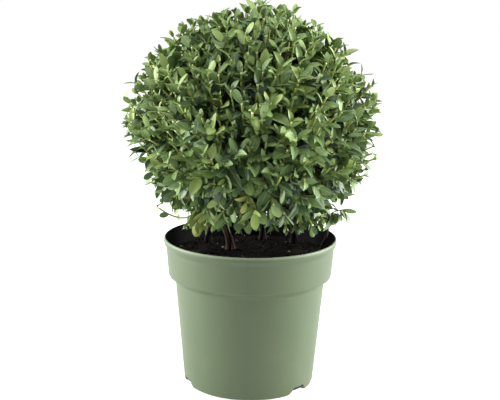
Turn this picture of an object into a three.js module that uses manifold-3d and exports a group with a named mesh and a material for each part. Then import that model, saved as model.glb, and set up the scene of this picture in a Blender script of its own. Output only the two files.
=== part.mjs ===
// A clipped ball of common box standing in its round nursery pot.
//
// Millimetres, +Z up. The origin is on the ground, under the middle of the pot.
// Several stems rise from the potting soil and fork into boughs. Each bough carries one mass
// of foliage, and the masses lie side by side round the hollow middle of the ball.

import * as THREE from "three";
import { mergeVertices } from "three/addons/utils/BufferGeometryUtils.js";
import Module from "manifold-3d";

const wasm = await Module();
wasm.setup();

// ---------------------------------------------------------------- driving dimensions

const CLEARANCE = 0.3; // between neighbouring pieces
const SHORTEST_EDGE = 0.05; // left where a leaf is joined on

const POT_HEIGHT = 165;
const RIM_RADIUS = 95;
const LIP_HEIGHT = 8;
const BAND_HEIGHT = 40.8; // from the rim down to where the band turns in
const BAND_TOP_RADIUS = 92.2;
const BAND_FOOT_RADIUS = 89.7;
const STEP_HEIGHT = 7.2; // the rounded step between band and body
const BODY_TOP_RADIUS = 82.1;
const BODY_FOOT_RADIUS = 71.8;
const BASE_RADIUS = 67.5;
const BASE_ROUNDING = 5;
const WALL = 1.6;
const FLOOR_UNDERSIDE = 3.6;
const FLOOR_THICKNESS = 1.6;
const FOOT_RING_WIDTH = 5.5;
const POT_SEGMENTS = 48;

const NOTCH_BEARINGS = [-40, 80, 201]; // degrees, round the foot of the pot
const NOTCH_HEIGHT = 9;
const NOTCH_SPAN = 25; // degrees at the ground
const NOTCH_TOP_SPAN = 12;
const DRAIN_HOLE_RADIUS = 5;
const DRAIN_HOLE_REACH = 50; // from the pot's middle

const SOIL_LEVEL = 147;
const SOIL_DISH_WIDTH = 12; // the edge that sinks towards the wall
const SOIL_DISH_DEPTH = 3;

const ROOT_FLARE = 0.55; // of a stem's radius, at the soil
const FLARE_HEIGHT = 0.07; // of a stem's length
const STEM_TAPER = 0.42; // of a stem's radius, from the soil to the fork
const BOUGH_ROOT_RADIUS = 2;
const BOUGH_TIP_RADIUS = 1.5;
const BOUGH_LEAN = 48; // degrees between a bough and its stem
const BOUGH_SPACING = 0.11; // of the stem's length, from one bough to the next
const BOUGH_PULL = 0.36; // of a bough's length, which its ends keep their own way for
const LIGHT_PULL = 0.8; // how far a mass's own stem turns up

const CROWN_HEIGHT = 293; // the middle of the ball above the ground
const CROWN_SQUASH = 0.97; // the ball's height over its width
const TWIG_REACH = 121; // where the shortest clipped twigs end, sideways
const REACH_SPREAD = 8;
const TIP_REACH = 145; // where the furthest leaves end
const CORE_RADIUS = 117;
const CORE_LUMP = 4;
const HOLLOW_RADIUS = 72; // the bare middle of the ball, where the boughs are
const OPENING_TOP_RADIUS = 62; // the way in for the stems, which widens upwards
const OPENING_FOOT_RADIUS = 46;
const LEAF_OVER_POT = 2; // from the lowest leaves to the pot and the soil
const SEAM = 0.5; // from a mass to the plane between it and its neighbour
const OWN_STEM_LENGTH = 8; // of each mass, in the hollow
const JOINT_DEPTH = 0.85; // of the core's radius, where a mass's twigs branch
const TWIG_BEND = 0.93; // of the core's radius, where a twig turns straight outwards

const TWIG_COUNT = 80;
const LOWEST_TWIG = -0.88; // the height of its direction, above the opening
const HANGING_COUNT = 10; // twigs that fill the ball's underside towards the pot
const HANGING_ELEVATION = -50;
const LONG_SHOOTS = [[181, 2, 134], [2, 9, 132], [-88, 16, 132], [92, 8, 132]]; // bearing, elevation, reach
const TWIG_ROOT_RADIUS = 1.5;
const TWIG_TIP_RADIUS = 0.8;
const LEAF_LENGTH = 31;
const SIDE_LEAF_LENGTH = 23;
const LEAF_WIDTH = 15.5;
const LEAF_THICKNESS = 1.3;
const LEAF_ANGLE = 58; // degrees from the twig
const LEAF_ANGLE_SPREAD = 30;
const LEAF_WIDEST = 0.56; // of its length from the root
const LEAF_SUNK = 0.4; // of the twig's radius, past its middle
const TIP_LEAF_SHARE = 0.86; // of the length of a leaf lower on the twig
const LEAF_TRIES = 14; // for a place where the leaf keeps to its space

// ---------------------------------------------------------------- small helpers

const radians = THREE.MathUtils.degToRad;
const vector = (x, y, z) => new THREE.Vector3(x, y, z);

/** A seeded source of even random numbers from 0 to 1. */
function seeded(seed) {
  let state = seed;
  return () => {
    state = (state + 0x6d2b79f5) | 0;
    let mixed = Math.imul(state ^ (state >>> 15), 1 | state);
    mixed = (mixed + Math.imul(mixed ^ (mixed >>> 7), 61 | mixed)) ^ mixed;
    return ((mixed ^ (mixed >>> 14)) >>> 0) / 4294967296;
  };
}

/** The unit vector at a compass bearing and an elevation, both in degrees. */
function direction(bearing, elevation) {
  const level = Math.cos(radians(elevation));
  return vector(
    level * Math.cos(radians(bearing)),
    level * Math.sin(radians(bearing)),
    Math.sin(radians(elevation)),
  );
}

/** A closed geometry as a solid that can be cut and joined. */
function solidOf(geometry) {
  const bare = geometry.clone();
  bare.deleteAttribute("normal");
  bare.deleteAttribute("uv");
  const merged = mergeVertices(bare, 1e-4);
  return new wasm.Manifold(
    new wasm.Mesh({
      numProp: 3,
      vertProperties: merged.attributes.position.array,
      triVerts: new Uint32Array(merged.index.array),
    }),
  );
}

/** A solid as a geometry for a mesh. */
function geometryOf(solid) {
  const made = solid.getMesh();
  const geometry = new THREE.BufferGeometry();
  geometry.setAttribute("position", new THREE.BufferAttribute(made.vertProperties, 3));
  geometry.setIndex(new THREE.BufferAttribute(made.triVerts, 1));
  geometry.computeVertexNormals();
  return geometry;
}

/** A profile of [radius, height] pairs turned round the Z axis. */
function turned(profile, segments) {
  const points = profile.map(([radius, height]) => new THREE.Vector2(radius, height));
  return new THREE.LatheGeometry(points, segments).rotateX(Math.PI / 2);
}

/** A round limb that follows a curve. radiusAt gives its radius at 0 to 1 of its length. */
function limb(curve, radiusAt, sides, steps) {
  const geometry = new THREE.CylinderGeometry(1, 1, 1, sides, steps);
  const position = geometry.attributes.position;
  const { normals, binormals } = curve.computeFrenetFrames(steps);
  for (let i = 0; i < position.count; i++) {
    const along = position.getY(i) + 0.5;
    const step = Math.round(along * steps);
    const radius = radiusAt(along);
    const place = curve
      .getPointAt(step / steps)
      .addScaledVector(binormals[step], position.getX(i) * radius)
      .addScaledVector(normals[step], position.getZ(i) * radius);
    position.setXYZ(i, place.x, place.y, place.z);
  }
  return geometry;
}

function mesh(name, geometry, material) {
  const made = new THREE.Mesh(geometry, material);
  made.name = name;
  return made;
}

// ---------------------------------------------------------------- materials

const plastic = new THREE.MeshStandardMaterial({ color: 0x8ba07f, roughness: 0.45, metalness: 0 });
const peat = new THREE.MeshStandardMaterial({ color: 0x1d1815, roughness: 1, metalness: 0 });
const bark = new THREE.MeshStandardMaterial({ color: 0x6b5138, roughness: 0.9, metalness: 0 });
const leaf = new THREE.MeshStandardMaterial({ color: 0x4a7230, roughness: 0.4, metalness: 0 });

// ---------------------------------------------------------------- pot and soil

const STEP_FOOT = POT_HEIGHT - BAND_HEIGHT - STEP_HEIGHT;
const BAND_FOOT = POT_HEIGHT - BAND_HEIGHT;
const FLOOR_TOP = FLOOR_UNDERSIDE + FLOOR_THICKNESS;

/** The body wall's outer radius at a height between the foot and the step. */
function bodyRadius(height) {
  const share = (height - BASE_ROUNDING) / (STEP_FOOT - BASE_ROUNDING);
  return THREE.MathUtils.lerp(BODY_FOOT_RADIUS, BODY_TOP_RADIUS, share);
}

/** The band's outer radius at a height between the step and the lip. */
function bandRadius(height) {
  const share = (height - BAND_FOOT) / (POT_HEIGHT - LIP_HEIGHT - BAND_FOOT);
  return THREE.MathUtils.lerp(BAND_FOOT_RADIUS, BAND_TOP_RADIUS, share);
}

// The inside of the wall from the floor to the lip, as [height, radius] pairs.
const INSIDE_WALL = [
  [FLOOR_TOP, bodyRadius(FLOOR_TOP) - WALL],
  [STEP_FOOT + WALL, BODY_TOP_RADIUS - WALL],
  [BAND_FOOT + WALL, BAND_FOOT_RADIUS - 1.5 * WALL],
  [POT_HEIGHT - LIP_HEIGHT, BAND_TOP_RADIUS - WALL],
];

/** The inside radius of the wall at a height. */
function insideRadius(height) {
  const above = INSIDE_WALL.findIndex(([knot], i) => i > 0 && knot >= height);
  const [low, lowRadius] = INSIDE_WALL[above - 1];
  const [high, highRadius] = INSIDE_WALL[above];
  return THREE.MathUtils.mapLinear(height, low, high, lowRadius, highRadius);
}

function potShell() {
  const lipFoot = POT_HEIGHT - LIP_HEIGHT;
  const outside = [
    [BASE_RADIUS, 0],
    [BASE_RADIUS + BASE_ROUNDING * 0.65, BASE_ROUNDING * 0.4],
    [BODY_FOOT_RADIUS, BASE_ROUNDING],
    [BODY_TOP_RADIUS, STEP_FOOT],
    [BODY_TOP_RADIUS + 0.9, STEP_FOOT + 1.6],
    [BAND_FOOT_RADIUS - 1.1, BAND_FOOT - 1.6],
    [BAND_FOOT_RADIUS, BAND_FOOT],
    [BAND_TOP_RADIUS, lipFoot - 2],
    [RIM_RADIUS - 1, lipFoot + 1],
    [RIM_RADIUS, lipFoot + 4],
    [RIM_RADIUS - 0.5, POT_HEIGHT - 0.8],
    [RIM_RADIUS - 1.6, POT_HEIGHT],
  ];
  const wall = INSIDE_WALL.map(([height, radius]) => [radius, height]).reverse();
  const underside = [
    [0, FLOOR_TOP],
    [0, FLOOR_UNDERSIDE],
    [BASE_RADIUS - FOOT_RING_WIDTH - 1, FLOOR_UNDERSIDE],
    [BASE_RADIUS - FOOT_RING_WIDTH, 0],
    [BASE_RADIUS, 0],
  ];
  const crest = [RIM_RADIUS - 3.2, POT_HEIGHT - 0.8];
  return solidOf(turned([...outside, crest, ...wall, ...underside], POT_SEGMENTS));
}

/** The wedge that is cut out of the foot at one drainage notch, open at the ground. */
function notchCutter(bearing) {
  const reach = BODY_FOOT_RADIUS + 4;
  const halfFoot = reach * Math.tan(radians(NOTCH_SPAN / 2));
  const halfTop = reach * Math.tan(radians(NOTCH_TOP_SPAN / 2));
  const outline = new THREE.Shape();
  outline.moveTo(-halfFoot, -1);
  outline.lineTo(halfFoot, -1);
  outline.lineTo(halfTop, NOTCH_HEIGHT);
  outline.lineTo(-halfTop, NOTCH_HEIGHT);
  outline.closePath();
  const depth = reach - (BASE_RADIUS - FOOT_RING_WIDTH - 4);
  const wedge = new THREE.ExtrudeGeometry(outline, { depth, bevelEnabled: false });
  wedge.rotateX(Math.PI / 2).rotateZ(Math.PI / 2); // the depth runs outwards along +X
  wedge.translate(reach - depth, 0, 0).rotateZ(radians(bearing));
  return solidOf(wedge);
}

function drainHoleCutter(bearing) {
  const hole = new THREE.CylinderGeometry(DRAIN_HOLE_RADIUS, DRAIN_HOLE_RADIUS, 20, 12);
  hole.rotateX(Math.PI / 2).translate(DRAIN_HOLE_REACH, 0, FLOOR_TOP).rotateZ(radians(bearing));
  return solidOf(hole);
}

function pot() {
  const cutters = NOTCH_BEARINGS.flatMap((b) => [notchCutter(b), drainHoleCutter(b)]);
  const shell = cutters.reduce((rest, cutter) => rest.subtract(cutter), potShell());
  return mesh("pot", geometryOf(shell), plastic);
}

function pottingSoil() {
  const edge = SOIL_LEVEL - SOIL_DISH_DEPTH;
  const heights = [FLOOR_TOP + CLEARANCE, INSIDE_WALL[1][0], INSIDE_WALL[2][0], edge];
  const wall = heights.map((height) => [insideRadius(height) - CLEARANCE, height]);
  const top = [
    [insideRadius(edge) - SOIL_DISH_WIDTH, SOIL_LEVEL],
    [0, SOIL_LEVEL],
  ];
  return mesh("potting_soil", turned([[0, heights[0]], ...wall, ...top], POT_SEGMENTS), peat);
}

// ---------------------------------------------------------------- the plan of the crown

// One mass of foliage for each bough. The bearing is 0 to the right and 90 to the back.
const MASSES = [
  { name: "top", bearing: 0, elevation: 90, stem: "back" },
  { name: "shoulder_front_left", bearing: -135, elevation: 36, stem: "centre" },
  { name: "shoulder_front_right", bearing: -45, elevation: 36, stem: "right" },
  { name: "shoulder_back_right", bearing: 45, elevation: 36, stem: "back" },
  { name: "shoulder_back_left", bearing: 135, elevation: 36, stem: "left" },
  { name: "waist_front", bearing: -90, elevation: -4, stem: "centre" },
  { name: "waist_right", bearing: -18, elevation: -4, stem: "right" },
  { name: "waist_back_right", bearing: 54, elevation: -4, stem: "back" },
  { name: "waist_back_left", bearing: 126, elevation: -4, stem: "left" },
  { name: "waist_left", bearing: 198, elevation: -4, stem: "left" },
  { name: "skirt_front_left", bearing: -125, elevation: -46, stem: "centre" },
  { name: "skirt_right", bearing: -10, elevation: -46, stem: "right" },
  { name: "skirt_back", bearing: 105, elevation: -46, stem: "back" },
].map((mass) => ({ ...mass, axis: direction(mass.bearing, mass.elevation) }));

// Where each stem leaves the soil, and where it forks.
const STEMS = [
  { name: "left", foot: [-48, 38], fork: [-31, 16, 204], radius: 4.2 },
  { name: "centre", foot: [-22, 10], fork: [-36, -16, 200], radius: 4.8 },
  { name: "right", foot: [50, 42], fork: [33, 2, 203], radius: 4.4 },
  { name: "back", foot: [14, 58], fork: [6, 26, 208], radius: 4 },
];

// A thin shoot at the right-hand edge of the pot, with a spray of leaves of its own.
const SIDE_SHOOT_FOOT = [78, 10];
const SIDE_SHOOT_BEND = [86.4, 10, 158];
const SIDE_SHOOT_TIP = [85.8, 10, 183];
const SIDE_SHOOT_RADIUS = 1.5;
const SIDE_SPRAY_MIDDLE = vector(98, 10, 193);
const SIDE_SPRAY_RADIUS = 25;

const crownCentre = vector(0, 0, CROWN_HEIGHT);

// ---------------------------------------------------------------- stems and boughs

/** A stem's radius: a flare at the soil, then an even taper. */
function stemRadius(stem, along) {
  const flare = ROOT_FLARE * Math.exp(-along / FLARE_HEIGHT);
  return stem.radius * (1 + flare - STEM_TAPER * along);
}

function stemCurve(stem) {
  const foot = vector(...stem.foot, SOIL_LEVEL + CLEARANCE);
  const fork = vector(...stem.fork);
  const rise = fork.z - foot.z;
  const aboveFoot = foot.clone().add(vector(0, 0, rise * 0.3));
  const belowFork = fork.clone().lerp(foot, 0.35).setZ(fork.z - rise * 0.3);
  return new THREE.CubicBezierCurve3(foot, aboveFoot, belowFork, fork);
}

/** The way a mass's own stem grows where it starts: outwards, and up towards the light. */
const massLeaning = (mass) => mass.axis.clone().add(vector(0, 0, LIGHT_PULL)).normalize();

/** The point where a mass's own stem starts, just inside the hollow middle. */
const massRoot = (mass) =>
  crownCentre.clone().addScaledVector(mass.axis, HOLLOW_RADIUS - OWN_STEM_LENGTH);

/** A bough's curve, from its stem to the root of its mass. The first carries the stem on. */
function boughCurve(stem, curve, mass, order) {
  const along = 1 - BOUGH_SPACING * order;
  const place = curve.getPointAt(along);
  const up = curve.getTangentAt(along);
  const arriving = massLeaning(mass);
  const end = massRoot(mass).addScaledVector(arriving, -CLEARANCE);
  if (order === 0) return bezierThrough(place.addScaledVector(up, CLEARANCE), up, end, arriving);
  const side = end.clone().sub(place).projectOnPlane(up).normalize();
  const lean = radians(BOUGH_LEAN);
  const leaving = up.clone().multiplyScalar(Math.cos(lean)).addScaledVector(side, Math.sin(lean));
  const clear = stemRadius(stem, along) + CLEARANCE + BOUGH_ROOT_RADIUS * Math.cos(lean);
  return bezierThrough(place.addScaledVector(side, clear), leaving, end, arriving);
}

function bezierThrough(start, leaving, end, arriving) {
  const pull = start.distanceTo(end) * BOUGH_PULL;
  return new THREE.CubicBezierCurve3(
    start,
    start.clone().addScaledVector(leaving, pull),
    end.clone().addScaledVector(arriving, -pull),
    end,
  );
}

const limbs = [];

/** Adds a limb to the plant, with the points along it that the foliage has to clear. */
function addLimb(name, curve, steps, sides, radiusAt) {
  const count = Math.ceil(curve.getLength() / 2);
  const samples = curve
    .getSpacedPoints(count)
    .map((point, i) => ({ point, radius: radiusAt(i / count) }));
  const geometry = limb(curve, radiusAt, sides, steps);
  limbs.push({ name, geometry, samples, tip: curve.getPointAt(1), way: curve.getTangentAt(1) });
}

for (const stem of STEMS) {
  const curve = stemCurve(stem);
  addLimb(`stem_${stem.name}`, curve, 9, 8, (t) => stemRadius(stem, t));
  MASSES.filter((mass) => mass.stem === stem.name).forEach((mass, order) => {
    const taper = (t) => THREE.MathUtils.lerp(BOUGH_ROOT_RADIUS, BOUGH_TIP_RADIUS, t);
    addLimb(`bough_${mass.name}`, boughCurve(stem, curve, mass, order), 6, 5, taper);
  });
}

const sideShootCurve = new THREE.CubicBezierCurve3(
  vector(...SIDE_SHOOT_FOOT, SOIL_LEVEL + CLEARANCE),
  vector(...SIDE_SHOOT_FOOT, SOIL_LEVEL + 8),
  vector(...SIDE_SHOOT_BEND),
  vector(...SIDE_SHOOT_TIP),
);
addLimb("side_shoot", sideShootCurve, 6, 6, (t) => SIDE_SHOOT_RADIUS * (1.25 - 0.4 * t));

// ---------------------------------------------------------------- foliage

/** Whether a point is nearer to this mass's axis than to any other, by the width of a seam. */
function inCell(mass, point) {
  const offset = point.clone().sub(crownCentre);
  return MASSES.every((other) => {
    if (other === mass) return true;
    const between = mass.axis.clone().sub(other.axis).normalize();
    return offset.dot(between) > SEAM;
  });
}

function inEnvelope(point) {
  const height = (point.z - CROWN_HEIGHT) / CROWN_SQUASH;
  return Math.hypot(point.x, point.y, height) < TIP_REACH;
}

function clearOfPot(point) {
  if (point.z > POT_HEIGHT + LEAF_OVER_POT) return true;
  const inside = Math.hypot(point.x, point.y) < BAND_TOP_RADIUS - WALL - LEAF_OVER_POT;
  return inside && point.z > SOIL_LEVEL + LEAF_OVER_POT;
}

function clearOfLimbs(point, gap) {
  if (Math.hypot(point.x, point.y) > RIM_RADIUS) return true; // every limb is over the pot
  return limbs.every(({ samples }) => samples.every((s) => s.point.distanceTo(point) > s.radius + gap));
}

const inSideSpray = (point, gap) => point.distanceTo(SIDE_SPRAY_MIDDLE) < SIDE_SPRAY_RADIUS + gap;

/** One leaf: a thin blade with its root at the origin, its length along +Y and its face to +Z. */
function leafBlade(length) {
  const blade = new THREE.OctahedronGeometry(1);
  const share = length / LEAF_LENGTH;
  blade.scale((LEAF_WIDTH / 2) * share, length / 2, LEAF_THICKNESS / 2).translate(0, length / 2, 0);
  const position = blade.attributes.position;
  for (let i = 0; i < position.count; i++) {
    const middle = position.getY(i) > length * 0.4 && position.getY(i) < length * 0.6;
    if (middle) position.setY(i, length * LEAF_WIDEST);
  }
  return blade;
}

/** A blade set on a twig at a point, growing along one way with its face to another. */
function setLeaf(length, root, along, face) {
  const across = along.clone().cross(face).normalize();
  const turn = new THREE.Matrix4().makeBasis(across, along, across.clone().cross(along));
  return leafBlade(length).applyMatrix4(turn.setPosition(root));
}

/** Whether every corner of a shape, and the middle of every edge, passes a test. */
function keepsTo(geometry, allowed) {
  const flat = geometry.index ? geometry.toNonIndexed() : geometry;
  const position = flat.attributes.position;
  const corner = (i) => vector(0, 0, 0).fromBufferAttribute(position, i);
  for (let i = 0; i < position.count; i++) {
    const next = i % 3 === 2 ? i - 2 : i + 1;
    if (!allowed(corner(i)) || !allowed(corner(i).lerp(corner(next), 0.5))) return false;
  }
  return true;
}

/** A twig with two opposite pairs of leaves, the second a quarter turn from the first. */
function leafyTwig(curve, bare, leafLength, random, allowed) {
  const pieces = [];
  const radiusAt = (t) => THREE.MathUtils.lerp(TWIG_ROOT_RADIUS, TWIG_TIP_RADIUS, t);
  pieces.push(solidOf(limb(curve, radiusAt, 3, 4)));
  const firstTurn = random() * Math.PI;
  for (const node of [0, 1]) {
    const along = node ? 0.97 : bare;
    const place = curve.getPointAt(along);
    const up = curve.getTangentAt(along);
    const length = leafLength * (node ? TIP_LEAF_SHARE : 1) * (0.92 + 0.16 * random());
    for (const opposite of [0, Math.PI]) {
      for (let attempt = 0; attempt < LEAF_TRIES; attempt++) {
        const turn = firstTurn + (node * Math.PI) / 2 + opposite + (random() - 0.5) * 0.25 * attempt;
        const angle = radians(LEAF_ANGLE + (random() - 0.5) * LEAF_ANGLE_SPREAD - attempt * 1.5);
        const blade = bladeAt(place, up, turn, angle, length, radiusAt(along));
        if (!keepsTo(blade, allowed)) continue;
        pieces.push(solidOf(blade));
        break;
      }
    }
  }
  return pieces;
}

/** A leaf's blade at a place on a twig, turned round the twig and leaning out from it. */
function bladeAt(place, up, turn, angle, length, twigRadius) {
  const reference = Math.abs(up.z) < 0.9 ? vector(0, 0, 1) : vector(1, 0, 0);
  const side = reference.projectOnPlane(up).normalize().applyAxisAngle(up, turn);
  const along = up.clone().multiplyScalar(Math.cos(angle)).addScaledVector(side, Math.sin(angle));
  const face = up.clone().multiplyScalar(Math.sin(angle)).addScaledVector(side, -Math.cos(angle));
  const root = place.clone().addScaledVector(along, -LEAF_SUNK * twigRadius);
  return setLeaf(length, root, along, face);
}

/** The lumpy shell under the leaves, which the masses share out between them. */
function coreShell() {
  const lumpy = new THREE.IcosahedronGeometry(1, 3);
  const position = lumpy.attributes.position;
  for (let i = 0; i < position.count; i++) {
    const way = vector(0, 0, 0).fromBufferAttribute(position, i).normalize();
    const wave = Math.sin(5 * way.x + 1) * Math.sin(6 * way.y + 2) * Math.sin(5 * way.z);
    way.multiplyScalar(CORE_RADIUS + CORE_LUMP * wave);
    position.setXYZ(i, way.x, way.y, way.z * CROWN_SQUASH);
  }
  const hollow = new THREE.IcosahedronGeometry(HOLLOW_RADIUS, 1);
  const opening = new THREE.CylinderGeometry(OPENING_TOP_RADIUS, OPENING_FOOT_RADIUS, CORE_RADIUS, 14);
  opening.rotateX(Math.PI / 2).translate(0, 0, -CORE_RADIUS * 0.75);
  return solidOf(lumpy)
    .subtract(solidOf(hollow))
    .subtract(solidOf(opening))
    .translate(crownCentre.toArray());
}

/** The share of the shell that is nearer to this mass's axis than to any other. */
function coreOf(mass, shell) {
  return MASSES.reduce((rest, other) => {
    if (other === mass) return rest;
    const between = mass.axis.clone().sub(other.axis).normalize();
    return rest.trimByPlane(between.toArray(), between.dot(crownCentre) + SEAM);
  }, shell);
}

/** Even directions over the ball by the golden angle, less those of the opening under it. */
function twigDirections() {
  const golden = Math.PI * (3 - Math.sqrt(5));
  return Array.from({ length: TWIG_COUNT }, (_, i) => {
    const height = 1 - (2 * i + 1) / TWIG_COUNT;
    const level = Math.sqrt(1 - height * height);
    return vector(level * Math.cos(golden * i), level * Math.sin(golden * i), height);
  }).filter((way) => way.z > LOWEST_TWIG);
}

const nearestMass = (way) =>
  MASSES.reduce((best, mass) => (mass.axis.dot(way) > best.axis.dot(way) ? mass : best));

/** A point in a direction from the crown's middle, on the ball of a given radius. */
function onBall(way, radius) {
  return vector(way.x, way.y, way.z * CROWN_SQUASH).multiplyScalar(radius).add(crownCentre);
}

/** The way and reach of every twig in the crown. */
function crownTwigs(random) {
  const clipped = twigDirections().map((way) => ({ way, reach: TWIG_REACH + REACH_SPREAD * random() }));
  const long = LONG_SHOOTS.map(([bearing, elevation, reach]) => ({
    way: direction(bearing, elevation),
    reach,
  }));
  const hanging = Array.from({ length: HANGING_COUNT }, (_, i) => ({
    way: direction(((i + random() * 0.5) * 360) / HANGING_COUNT, HANGING_ELEVATION),
    reach: TWIG_REACH + REACH_SPREAD * random(),
  }));
  return [...clipped, ...long, ...hanging];
}

/** A mass of foliage: its own stem, its share of the core, and the twigs that stand out of it. */
function foliage(mass, shell, twigs, random) {
  const root = massRoot(mass);
  const joint = onBall(mass.axis, CORE_RADIUS * JOINT_DEPTH);
  const ownStem = new THREE.QuadraticBezierCurve3(
    root,
    root.clone().addScaledVector(massLeaning(mass), OWN_STEM_LENGTH),
    joint,
  );
  const pieces = [coreOf(mass, shell), solidOf(limb(ownStem, () => BOUGH_TIP_RADIUS, 6, 5))];
  const allowed = (point) =>
    inCell(mass, point) &&
    inEnvelope(point) &&
    clearOfPot(point) &&
    !inSideSpray(point, 1) &&
    clearOfLimbs(point, CLEARANCE + 0.5);
  for (const { way, reach } of twigs.filter((twig) => nearestMass(twig.way) === mass)) {
    const emerging = onBall(way, CORE_RADIUS * TWIG_BEND);
    const curve = new THREE.CatmullRomCurve3([joint, emerging, onBall(way, reach)]);
    if (!keepsTo(limb(curve, () => TWIG_ROOT_RADIUS, 3, 4), (point) => inCell(mass, point))) continue;
    const bare = 1 - (reach - CORE_RADIUS) / curve.getLength();
    pieces.push(...leafyTwig(curve, bare, LEAF_LENGTH, random, allowed));
  }
  return oneBody(wasm.Manifold.union(pieces));
}

/** The spray at the end of the side shoot, which has no core. */
function sideSpray(random) {
  const { tip, way } = limbs.at(-1);
  const start = tip.clone().addScaledVector(way, 2 * CLEARANCE);
  const curve = new THREE.QuadraticBezierCurve3(
    start,
    start.clone().addScaledVector(way, 8),
    SIDE_SPRAY_MIDDLE,
  );
  const allowed = (point) => inSideSpray(point, 0) && clearOfPot(point) && clearOfLimbs(point, 0.1);
  return oneBody(wasm.Manifold.union(leafyTwig(curve, 0.3, SIDE_LEAF_LENGTH, random, allowed)));
}

/** The largest body of a solid, without loose scraps or sliver edges. */
function oneBody(solid) {
  const bodies = solid.simplify(SHORTEST_EDGE).decompose();
  return bodies.reduce((best, body) => (body.volume() > best.volume() ? body : best));
}

// ---------------------------------------------------------------- the whole plant

const plant = new THREE.Group();
plant.add(pot(), pottingSoil());
for (const { name, geometry } of limbs) plant.add(mesh(name, geometry, bark));

const random = seeded(32);
const shell = coreShell();
const twigs = crownTwigs(random);
for (const mass of MASSES) {
  plant.add(mesh(`foliage_${mass.name}`, geometryOf(foliage(mass, shell, twigs, random)), leaf));
}
plant.add(mesh("foliage_side_spray", geometryOf(sideSpray(random)), leaf));

export default plant;
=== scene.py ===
import math
import random

import bmesh
import bpy
import numpy as np
from mathutils import Matrix, Vector, noise


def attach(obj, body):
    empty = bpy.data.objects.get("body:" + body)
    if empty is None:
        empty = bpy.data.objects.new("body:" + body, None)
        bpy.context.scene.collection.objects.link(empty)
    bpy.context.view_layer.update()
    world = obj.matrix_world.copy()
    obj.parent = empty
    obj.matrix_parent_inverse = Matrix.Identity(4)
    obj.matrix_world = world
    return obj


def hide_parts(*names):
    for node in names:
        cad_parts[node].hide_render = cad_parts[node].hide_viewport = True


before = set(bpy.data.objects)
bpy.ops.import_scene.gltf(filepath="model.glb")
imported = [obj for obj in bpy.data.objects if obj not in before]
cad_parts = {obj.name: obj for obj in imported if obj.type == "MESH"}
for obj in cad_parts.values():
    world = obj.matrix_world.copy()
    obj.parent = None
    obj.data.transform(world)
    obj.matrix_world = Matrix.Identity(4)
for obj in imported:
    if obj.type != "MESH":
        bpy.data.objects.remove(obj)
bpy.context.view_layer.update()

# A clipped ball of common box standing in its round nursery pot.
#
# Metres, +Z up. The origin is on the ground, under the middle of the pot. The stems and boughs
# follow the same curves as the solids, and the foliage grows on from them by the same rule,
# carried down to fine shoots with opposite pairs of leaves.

SCENE = bpy.context.scene
UP = Vector((0, 0, 1))

# ---- driving dimensions

CLEARANCE = 0.0003  # between neighbouring pieces
TOLERANCE = 1e-5  # within which two heights are the same
MERGE_DISTANCE = 1e-6

POT_HEIGHT = 0.165
RIM_RADIUS = 0.095
LIP_HEIGHT = 0.008
BAND_HEIGHT = 0.0408  # from the rim down to where the band turns in
BAND_TOP_RADIUS = 0.0922
BAND_FOOT_RADIUS = 0.0897
STEP_HEIGHT = 0.0072  # the rounded step between band and body
BODY_TOP_RADIUS = 0.0821
BODY_FOOT_RADIUS = 0.0718
BASE_RADIUS = 0.0675
BASE_ROUNDING = 0.005
WALL = 0.0016
FLOOR_UNDERSIDE = 0.0036
FLOOR_THICKNESS = 0.0016
FOOT_RING_WIDTH = 0.0055
FOOT_RING_SLOPE = 0.001
STEP_TURN = 0.0016  # the height over which the step turns out of the body and into the band
LIP_TURN = 0.002  # how far under the lip the band ends
POT_STEPS = 128

NOTCH_BEARINGS = (-40, 80, 201)  # degrees, round the foot of the pot
NOTCH_HEIGHT = 0.0090
NOTCH_SPAN = 25  # degrees at the ground
NOTCH_TOP_SPAN = 12
DRAIN_HOLE_RADIUS = 0.005
DRAIN_HOLE_REACH = 0.050
DRAIN_HOLE_STEPS = 24
CUT_LENGTH = 0.02  # of the rod that makes a drain hole
CUT_PAST = 0.004  # how far a notch's wedge goes past what it cuts
CUT_BELOW = 0.001
SHARPEST_SMOOTH = math.radians(38)  # an edge that turns more is left sharp

SOIL_LEVEL = 0.147
SOIL_DISH_WIDTH = 0.012
SOIL_DISH_DEPTH = 0.003
SOIL_STEPS = 120
SOIL_RINGS = 34
SOIL_ROUGHNESS = 0.0011
SOIL_SETTLING = 0.0007
PAINTED_LIGHT_EDGES = (0.052, 0.082)  # how far out, mostly to the left and right, the painted light on the soil starts and is full
CRUMB_SEED = 11
CRUMB_COUNT = 1100
CRUMB_LEAST = 0.0011
CRUMB_SPREAD = 0.0032  # how much larger the few largest are
CRUMB_GAP = 0.003  # between the crumbs and the wall
FOOT_CRUMBS = 26  # round each stem
FOOT_CRUMB_REACH = (1.3, 2.6)  # in stem radii
PALE_SHARE = 0.02
ANY_TURN = 6.3  # radians, for a turn left to chance

ROOT_FLARE = 0.55  # of a stem's radius, at the soil
FLARE_HEIGHT = 0.07  # of a stem's length
STEM_TAPER = 0.42  # of a stem's radius, from the soil to the fork
TWINS = ((2.9, 0.40, 0.50), (6.0, 0.52, 0.40))  # bearing, offset and width in stem radii
TWINE = 1.4  # radians from the soil to the fork
STRAND_KNOTS = 60
STEM_PULL = 0.3  # of a stem's rise, how far its curve is pulled upright at each end
STEM_LEAN = 0.35  # how far back to its foot a stem stands just below its fork
STEM_RELIEF = 0.09  # of the bark, in stem radii
STEM_SIDES = 5
BOUGH_SIDES = 3
TWIG_SIDES = 1
BOUGH_RELIEF = 0.00016
BOUGH_KNOTS = 0.0012  # between the knots of its curve
BOUGH_RADII = (0.002, 0.0015)  # at its root and its tip
BOUGH_LEAN = math.radians(48)
BOUGH_SPACING = 0.11  # of the stem's length
BOUGH_PULL = 0.36  # of a bough's length
LIGHT_PULL = 0.8  # how far a mass's own stem turns up

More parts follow.
